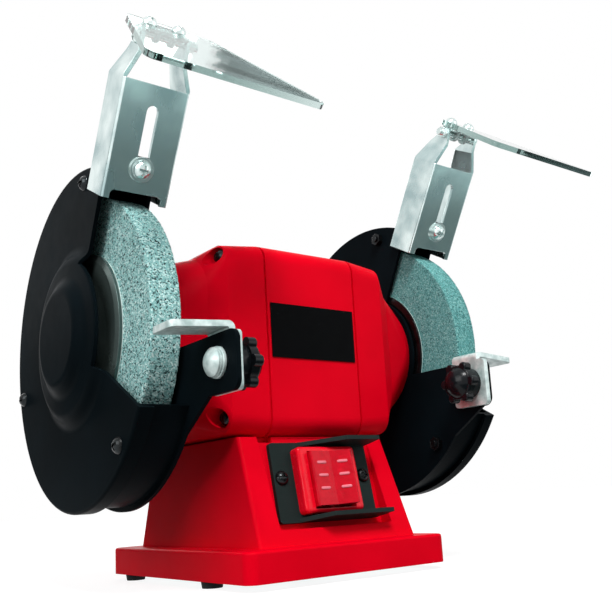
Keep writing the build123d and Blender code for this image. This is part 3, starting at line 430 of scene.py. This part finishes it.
# Switch: a moulded plate with two fins, held by two blackened screws, round a red bezel and rocker.
# The rocker is clear red polycarbonate with six raised grip bars, and tips about an upright pin.
# The flow of the melt leaves its surface slightly wavy, so that it mirrors unevenly.
plate_plastic = moulded("moulded_plate_plastic", "#202B2A", "#182221", roughness=0.5, gloss=0.06, grain=0.6)
paint(plate_plastic, "switch_plate")
red_plastic = moulded("moulded_red_plastic", "#EE0A26", "#DE0620", roughness=0.25, gloss=0.2, grain=2.5)
paint(red_plastic, "switch_body")
FLOW_SIZE = 5 * mm
FLOW_DEPTH = 1.2 * mm
clear_red, tree, where = open_finish("clear_red_polycarbonate")
flow = add(tree, "ShaderNodeTexNoise", {"Vector": where, "Scale": 1 / FLOW_SIZE, "Detail": 3.0})
colour = add(tree, "ShaderNodeMixRGB", {"Fac": flow, "Color1": linear("#B00519"),
                                        "Color2": linear("#E30B28")})
rough = add(tree, "ShaderNodeMapRange", {"Value": flow, "To Min": 0.06, "To Max": 0.16})
wavy = add(tree, "ShaderNodeBump", {"Height": flow, "Distance": FLOW_DEPTH, "Strength": 0.6})
shader = add(tree, "ShaderNodeBsdfPrincipled", {"Base Color": colour, "Roughness": rough,
                                                "Specular IOR Level": 0.06, "Transmission Weight": 0.06,
                                                "IOR": 1.58, "Normal": wavy})
add(tree, "ShaderNodeOutputMaterial", {"Surface": shader})
paint(clear_red, "rocker")

PANEL_TILT = radians(11.3)
PANEL = Vector((0, -65.5, 49.0))
PANEL_UP = Vector((0, sin(PANEL_TILT), cos(PANEL_TILT)))
PANEL_OUT = Vector((0, -cos(PANEL_TILT), sin(PANEL_TILT)))
ROCKER_TILT = radians(9)
ROCKER_PIVOT = 5.0
FACET_X = 12.4
FACET_HIGH = 14.5
FACET_LOW = 12.5
BAR_ROWS = (8.2, 1.4, -5.4)


def on_rocker(x, up, height):
    """A place on the tipped rocker, from its own (across, up, height) coordinates."""
    lift = height - ROCKER_PIVOT
    across = x * cos(ROCKER_TILT) - lift * sin(ROCKER_TILT)
    out = x * sin(ROCKER_TILT) + lift * cos(ROCKER_TILT) + ROCKER_PIVOT
    return PANEL + Vector((across, 0, 0)) + up * PANEL_UP + out * PANEL_OUT


bar_tree, size = sized_tree("grip_bars", ("Long", "Wide", "High"))
tree = bar_tree
bar_size = add(tree, "ShaderNodeCombineXYZ", {"X": size["Long"], "Y": size["Wide"], "Z": size["High"]})
bar = add(tree, "GeometryNodeMeshCube", {"Size": bar_size, "Vertices X": 4, "Vertices Y": 3, "Vertices Z": 3})
bar = add(tree, "GeometryNodeSubdivisionSurface", {"Mesh": bar, "Level": 1})
facing = add(tree, "GeometryNodeInputNamedAttribute", {"Name": "out"}, data_type="FLOAT_VECTOR")
facing = add(tree, "FunctionNodeAlignRotationToVector", {"Vector": facing}, axis="Z")
levelled = add(tree, "FunctionNodeAlignRotationToVector", {"Rotation": facing, "Vector": (1, 0, 0)},
               axis="X", pivot_axis="Z")
bars = add(tree, "GeometryNodeInstanceOnPoints", {"Points": size["Geometry"], "Instance": bar,
                                                  "Rotation": levelled})
close_tree(tree, bars, size["Finish"])
facet_middle = FACET_LOW + (FACET_HIGH - FACET_LOW) * 0.5
seats = []
for sign in (-1, 1):
    rise = on_rocker(sign * FACET_X, 0, FACET_HIGH) - on_rocker(0, 0, FACET_LOW)
    facet_out = sign * PANEL_UP.cross(rise).normalized()
    for up in BAR_ROWS:
        seats.append((on_rocker(sign * FACET_X * 0.5, up, facet_middle), facet_out))
# The bars' pale pink is a painted highlight, standing for the glints along them.
pale_red_painted_highlight = moulded("red_plastic_painted_highlight", "#EE8492", "#E07382", roughness=0.3, gloss=0.2, grain=1.0)
grip_bars = grow("grip_bars", seat_points("grip_bars", seats), bar_tree, smooth=60, Finish=pale_red_painted_highlight,
                 Long=6 * mm, Wide=1.5 * mm, High=0.9 * mm)
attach(grip_bars, "rocker")

PLATE_SCREW_X = 27
PLATE_SCREW_UP = 2.8
PLATE_FACE = 2.5
black_oxide = metal("black_oxide_steel", "#24292B", "#0D0F10", roughness=0.2, metallic=0.7, cloud=6.0)
seats = []
for x in (-PLATE_SCREW_X, PLATE_SCREW_X):
    seats.append((PANEL + Vector((x, 0, 0)) + PLATE_SCREW_UP * PANEL_UP + PLATE_FACE * PANEL_OUT, PANEL_OUT))
cross_screws("plate_screws", "switch_plate_screws", "frame", black_oxide, seats,
             head=4.0, rise=2.8, shank=1.9, length=10.0)

# Motor housing: a cast middle body between two drafted end bells, in the same enamel as the base.
# Four long blackened bolts hold them together, with their heads in pockets. A bare foil label is stuck on.
paint(red_enamel, "motor_body", "left_end_bell", "right_end_bell")
paint(black_oxide, "through_bolts")
label_foil = moulded("gloss_black_foil", "#0A0B0C", "#060708", roughness=0.2, gloss=0.01, grain=4.0)
paint(label_foil, "label_plate")

# Stator, rotor and bearings: stacks of punched steel sheet with enamelled copper coils round them.
# The shaft and the bearings are ground steel. A wave texture of scale 1 repeats every 0.314 m.
LAYER_DEPTH = 0.2 * mm
WAVE_PERIOD = 0.314


def layered(name, light, dark, roughness, pitch):
    """Stacked sheet or wound wire: bands across the shaft, with their pitch in mm.
    Real sheets are about half as thick, and are drawn this coarse so that they show."""
    material, tree, where = open_finish(name)
    bands = add(tree, "ShaderNodeTexWave", {"Vector": where, "Scale": WAVE_PERIOD / (pitch * mm),
                                            "Distortion": 1.0}).outputs["Fac"]
    colour = add(tree, "ShaderNodeMixRGB", {"Fac": bands, "Color1": linear(dark), "Color2": linear(light)})
    relief = add(tree, "ShaderNodeBump", {"Height": bands, "Distance": LAYER_DEPTH, "Strength": 0.6})
    shader = add(tree, "ShaderNodeBsdfPrincipled", {"Base Color": colour, "Roughness": roughness,
                                                    "Metallic": 0.9, "Normal": relief})
    add(tree, "ShaderNodeOutputMaterial", {"Surface": shader})
    return material


laminations = layered("stacked_laminations", "#85888D", "#3A3C40", roughness=0.45, pitch=1.0)
paint(laminations, "stator_core", "rotor_core")
copper_wire = layered("enamelled_copper_wire", "#C77F45", "#7A3A18", roughness=0.32, pitch=1.2)
paint(copper_wire, "stator_windings")
ground_steel = metal("ground_bearing_steel", "#C3C7CA", "#A9AEB2", roughness=0.18)
paint(ground_steel, "shaft", "bearing_outer_rings", "bearing_inner_rings", "bearing_balls", "bearing_cages")

# Guard back plates: pressed steel with a rim, an arm for the tool rest and a lug for the spark bracket.
# They are in satin black enamel, and three screws hold each to its bell.
black_enamel = enamel("satin_black_enamel", "#0B1317", "#080E11", roughness=0.36, gloss=0.008)
paint(black_enamel, "left_guard", "right_guard")
paint(black_oxide, "guard_mount_screws")

# Grinding wheels: vitrified abrasive, coarse at the left end and fine at the right, on a bush.
# Loose grains and pores pit every face that is open to wear, and the seat under the flanges stays flat.
SHAFT_Y = -12.0
SHAFT_Z = 129.0
WHEEL_R = 75.0
WHEEL_EDGE = 0.8
SEAT_R = 45.5
BORE_R = 10.0
WHEEL_IN = 92.0
WHEEL_OUT = 108.0
CELL = 0.8
GRAIN_RELIEF = 0.2 * mm


def abrasive(name, light, body, dark, grain):
    """Bonded grains, sized in mm: each has its own tone, with dark specks among them that paint the shade in
    pores, and a few pale glints.
    Fine grit is really about half as large, and is drawn this coarse so that it shows."""
    material, tree, where = open_finish(name)
    grains = add(tree, "ShaderNodeTexVoronoi", {"Vector": where, "Scale": 1 / (grain * mm)})
    tone = add(tree, "ShaderNodeSeparateColor", {"Color": grains.outputs["Color"]})
    patch = add(tree, "ShaderNodeTexNoise", {"Vector": where, "Scale": 1 / (3.5 * grain * mm), "Detail": 3.0})
    mixed = add(tree, "ShaderNodeMix", {"Factor": 0.4, "A": tone, "B": patch})
    ramp = add(tree, "ShaderNodeValToRGB", {"Fac": mixed})
    stops = [(0.24, dark), (0.37, body), (0.58, body), (0.74, light)]
    while len(ramp.color_ramp.elements) < len(stops):
        ramp.color_ramp.elements.new(0.5)
    for element, (at, colour) in zip(ramp.color_ramp.elements, stops):
        element.position = at
        element.color = linear(colour)
    relief = add(tree, "ShaderNodeBump", {"Height": grains, "Distance": GRAIN_RELIEF, "Strength": 0.5})
    shader = add(tree, "ShaderNodeBsdfPrincipled", {"Base Color": ramp, "Roughness": 0.9,
                                                    "Specular IOR Level": 0.1, "Normal": relief})
    add(tree, "ShaderNodeOutputMaterial", {"Surface": shader})
    return material


grit_tree, size = sized_tree("pitted_abrasive", ("Grain", "Pit"))
tree = grit_tree
inside = add(tree, "GeometryNodeInputPosition")
per_metre = add(tree, "ShaderNodeMath", {0: 1.0, 1: size["Grain"]}, operation="DIVIDE")
pores = add(tree, "ShaderNodeTexVoronoi", {"Vector": inside, "Scale": per_metre})
worn = add(tree, "GeometryNodeInputNamedAttribute", {"Name": "worn"}, data_type="FLOAT")
open_pores = add(tree, "ShaderNodeMath", {0: pores, 1: worn}, operation="MULTIPLY")
inward = add(tree, "ShaderNodeMath", {0: size["Pit"], 1: -1.0}, operation="MULTIPLY")
depth = add(tree, "ShaderNodeMath", {0: open_pores, 1: inward}, operation="MULTIPLY")
normal = add(tree, "GeometryNodeInputNormal")
move = add(tree, "ShaderNodeVectorMath", {0: normal, "Scale": depth}, operation="SCALE")
pitted = add(tree, "GeometryNodeSetPosition", {"Geometry": size["Geometry"], "Offset": move})
close_tree(tree, pitted, size["Finish"])


def between(start, end):
    """Even steps of about one cell from start to end."""
    count = max(1, round(abs(end - start) / CELL))
    return [start + (end - start) * i / count for i in range(count + 1)]


def stone(side, sign, finish, grain, pit):
    """A turned ring with a fine grid on the faces that are open to wear."""
    radii = [BORE_R] + between(SEAT_R, WHEEL_R - WHEEL_EDGE)
    profile = [(WHEEL_IN, r) for r in radii]
    profile += [(x, WHEEL_R) for x in between(WHEEL_IN + WHEEL_EDGE, WHEEL_OUT - WHEEL_EDGE)]
    profile += [(WHEEL_OUT, r) for r in reversed(radii)]
    count = round(2 * pi * WHEEL_R / CELL)
    angles = [2 * pi * k / count for k in range(count)]
    points = []
    for x, r in profile:
        for a in angles:
            points.append((sign * x * mm, (SHAFT_Y - r * cos(a)) * mm, (SHAFT_Z + r * sin(a)) * mm))
    faces = []
    for i in range(len(profile)):
        ring, following = i * count, (i + 1) % len(profile) * count
        for k in range(count):
            beside = (k + 1) % count
            corners = (ring + k, ring + beside, following + beside, following + k)
            faces.append(corners if sign < 0 else corners[::-1])
    seed = bpy.data.meshes.new(f"{side}_stone")
    seed.from_pydata(points, [], faces)
    worn = [1.0 if r > SEAT_R else 0.0 for _, r in profile for _ in angles]
    seed.attributes.new("worn", "FLOAT", "POINT").data.foreach_set("value", worn)
    piece = grow(f"{side}_stone", seed, grit_tree, smooth=60, Finish=finish, Grain=grain * mm, Pit=pit * mm)
    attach(piece, "rotor")
    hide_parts(f"{side}_wheel")


coarse = abrasive("coarse_vitrified_abrasive", "#C6E0DD", "#83B4B2", "#223637", grain=0.65)
fine = abrasive("fine_vitrified_abrasive", "#84B6B3", "#569391", "#315E5F", grain=0.6)
stone("left", -1, coarse, grain=1.2, pit=0.55)
stone("right", 1, fine, grain=0.9, pit=0.25)
paint(moulded("nylon_bush", "#C6C6C0", "#B2B2AC", roughness=0.5, gloss=0.3, grain=0.8), "wheel_bushes")
blotter_card = moulded("pressed_blotter_card", "#D3DFDB", "#B9C7C3", roughness=0.85, gloss=0.1, grain=0.4)
paint(blotter_card, "wheel_blotters")
# The outer flanges and the nuts are painted darker than bare turned steel: the dark is painted shade, for the
# shade under the guard covers.
steel_painted_shade = metal("turned_steel_painted_shade", "#667572", "#4A5856", roughness=0.32, metallic=0.75)
paint(steel_painted_shade, "outer_flanges", "wheel_nuts")
paint(black_oxide, "inner_flanges")

# Guard covers: dished pressings in the same black enamel, with a lip over the rim.
# Three blackened screws and nuts hold each one to its back plate.
paint(black_enamel, "left_guard_cover", "right_guard_cover")
paint(black_oxide, "guard_cover_nuts")
COVER_FACE = 116.0
COVER_SCREW_R = 81.5
COVER_SCREW_ANGLES = (78, 195, 313)
seats = []
for sign in (-1, 1):
    for degrees in COVER_SCREW_ANGLES:
        y = SHAFT_Y - COVER_SCREW_R * cos(radians(degrees))
        z = SHAFT_Z + COVER_SCREW_R * sin(radians(degrees))
        seats.append(((sign * COVER_FACE, y, z), (sign, 0, 0)))
cross_screws("cover_screws", "guard_cover_screws", "frame", black_oxide, seats,
             head=4.2, rise=3.0, shank=2.0, length=33.0)

# Tool rests: bent plates of dull zinc-plated steel, each on the guard's arm.
# A coach bolt with a flat and a spring washer clamps it, with a moulded star knob on the other end.
dull_zinc = metal("dull_zinc_plate", "#DCEAE8", "#A8BDBB", roughness=0.42, metallic=0.3, cloud=5.0)
for side in ("left", "right"):
    paint(dull_zinc, f"{side}_tool_rest", f"{side}_rest_bolt")
    paint(black_plastic, f"{side}_star_knob")

# Spark brackets: slotted channels of rolled zinc-plated sheet that slide on the guards' lugs.
# Each is clamped by a cross-recess screw with two washers and a nut.
BRACKET_LEAN = radians(60)
BRACKET_UP = Vector((0, -cos(BRACKET_LEAN), sin(BRACKET_LEAN)))
BRACKET_OUT = Vector((0, -sin(BRACKET_LEAN), -cos(BRACKET_LEAN)))
BRACKET_X = 102.4
CLAMP_UP = 93.4
CLAMP_OUT = 13.3
rolled_zinc = metal("rolled_zinc_sheet", "#E6F3F1", "#A6BDBE", roughness=0.2, metallic=0.94, cloud=20.0,
                    streak=(1, 1, 6), lean=radians(30))
paint(rolled_zinc, "left_spark_bracket", "right_spark_bracket")
bright_zinc = metal("bright_zinc_plate", "#E4F0EE", "#BDCDCC", roughness=0.24)
paint(bright_zinc, "bracket_washers", "bracket_nuts", "left_hinge_bolt", "right_hinge_bolt")
seats = []
for sign in (-1, 1):
    wheel_middle = Vector((sign * BRACKET_X, SHAFT_Y, SHAFT_Z))
    seats.append((wheel_middle + CLAMP_UP * BRACKET_UP + CLAMP_OUT * BRACKET_OUT, BRACKET_OUT))
cross_screws("pan_screws", "bracket_screws", "frame", bright_zinc, seats,
             head=4.4, rise=2.9, shank=2.5, length=12.0)

# Eye shields: sheets of clear cast acrylic. Their sawn edges look darker, seen through the sheet's length.
# Two screws fix each one to a folded clip on the hinge bolt.
HINGE = Vector((0, -93.723, 258.949))
CLIP_BACK = 2.6
SHEET_TOP = 7.0
SHEET_SCREW_X = 7.6
HAZE_SIZE = 25 * mm
acrylic, tree, where = open_finish("clear_cast_acrylic")
haze = add(tree, "ShaderNodeTexNoise", {"Vector": where, "Scale": 1 / HAZE_SIZE, "Detail": 4.0})
rough = add(tree, "ShaderNodeMapRange", {"Value": haze, "To Min": 0.0, "To Max": 0.05})
shader = add(tree, "ShaderNodeBsdfPrincipled", {"Base Color": linear("#E9F7F5"), "Roughness": rough,
                                                "Transmission Weight": 1.0, "IOR": 1.49})
tint = add(tree, "ShaderNodeVolumeAbsorption", {"Color": linear("#9DBAB6"), "Density": 22.0})
add(tree, "ShaderNodeOutputMaterial", {"Surface": shader, "Volume": tint})
paint(acrylic, "left_eye_shield", "right_eye_shield")
for side, sign, tilt in (("left", -1, radians(46)), ("right", 1, radians(37.5))):
    paint(dull_zinc, f"{side}_shield_clip")
    over = Vector((0, -sin(tilt), cos(tilt)))
    back = Vector((0, cos(tilt), sin(tilt)))
    middle = HINGE + Vector((sign * BRACKET_X, 0, 0)) + CLIP_BACK * back + SHEET_TOP * over
    seats = [(middle + Vector((x, 0, 0)), over) for x in (-SHEET_SCREW_X, SHEET_SCREW_X)]
    cross_screws(f"{side}_sheet_screws", f"{side}_shield_screws", f"{side}_shield",
                 bright_zinc, seats, head=3.8, rise=2.8, shank=2.0, length=4.4)
